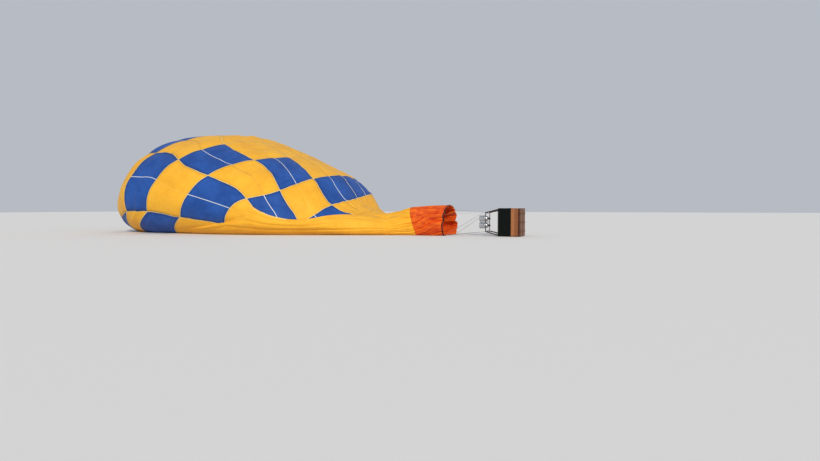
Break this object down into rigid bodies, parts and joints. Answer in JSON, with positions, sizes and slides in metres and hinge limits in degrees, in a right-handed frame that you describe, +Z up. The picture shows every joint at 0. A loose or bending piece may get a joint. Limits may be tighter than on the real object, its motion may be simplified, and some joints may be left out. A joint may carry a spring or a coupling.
{
  "type": "hot air balloon",
  "caption": "Hot air balloon lying on its side while it fills: checked cloth envelope, orange mouth, wire stays, gimballed burner and a tipped wicker basket.",
  "frame": {"origin": "centre of the bounding box at floor level", "axes": "+X from the crown to the basket, +Y away from the viewer, +Z up"},
  "size_m": [26.6026, 15.2952, 6.4942],
  "materials": {
    "yellow_cloth": "coated nylon",
    "blue_cloth": "coated nylon",
    "orange_cloth": "heat resistant cloth",
    "webbing": "woven tape",
    "wicker": "woven willow",
    "wood": "varnished",
    "dark_leather": "padded",
    "tan_leather": "worn",
    "cover_cloth": "heavy cloth",
    "aluminium": "satin",
    "dark_paint": "satin",
    "steel": "brushed",
    "wire": "stranded"
  },
  "bodies": {
    "balloon": {"cloth_near_low": "yellow_cloth", "cloth_near_high": "yellow_cloth", "cloth_far_high": "yellow_cloth", "cloth_far_low": "yellow_cloth", "cloth_under_far": "yellow_cloth", "cloth_under_near": "yellow_cloth", "neck_near": "yellow_cloth", "neck_far": "yellow_cloth", "neck_under": "yellow_cloth", "skirt_near": "orange_cloth", "skirt_far": "orange_cloth", "skirt_under": "orange_cloth", "blue_checks_crown": "blue_cloth", "blue_checks_middle": "blue_cloth", "blue_checks_lower": "blue_cloth", "blue_checks_far": "blue_cloth", "crown_tapes": "webbing", "basket_wall_near": "wicker", "basket_wall_far": "wicker", "basket_wall_lower": "wicker", "basket_wall_upper": "wicker", "basket_floor": "wood", "basket_rim": "dark_leather", "leather_band": "tan_leather", "leather_foot": "tan_leather", "rim_cover": "cover_cloth", "skid_1": "wood", "skid_2": "wood", "skid_3": "wood", "fuel_cylinder_1": "aluminium", "fuel_cylinder_2": "aluminium", "fuel_cylinder_3": "aluminium", "fuel_cylinder_4": "aluminium", "burner_frame": "dark_paint", "upright_near_low": "dark_leather", "upright_near_high": "dark_leather", "upright_far_low": "dark_leather", "upright_far_high": "dark_leather", "wires_near_low": "wire", "wires_near_high": "wire", "wires_far_high": "wire", "wires_far_low": "wire"},
    "vent": {"vent_panel": "yellow_cloth"},
    "gimbal": {"gimbal_ring": "steel"},
    "burner": {"burner_bar": "steel", "burner_can_1": "steel", "burner_can_2": "steel", "burner_valve_1": "dark_paint", "burner_valve_2": "dark_paint"}
  },
  "joints": [
    {"name": "vent_slide", "type": "slide", "parent": "balloon", "child": "vent", "axis": [0.9903, -0.1392, 0], "range_m": [0, 1.2]},
    {"name": "gimbal_tilt", "type": "hinge", "parent": "balloon", "child": "gimbal", "pos_m": [11.3173, -1.6034, 0.77], "axis": [0, 0, 1], "range_deg": [-15, 15]},
    {"name": "burner_tilt", "type": "hinge", "parent": "gimbal", "child": "burner", "pos_m": [11.3173, -1.6034, 0.77], "axis": [0, 1, 0], "range_deg": [-15, 15]}
  ]
}
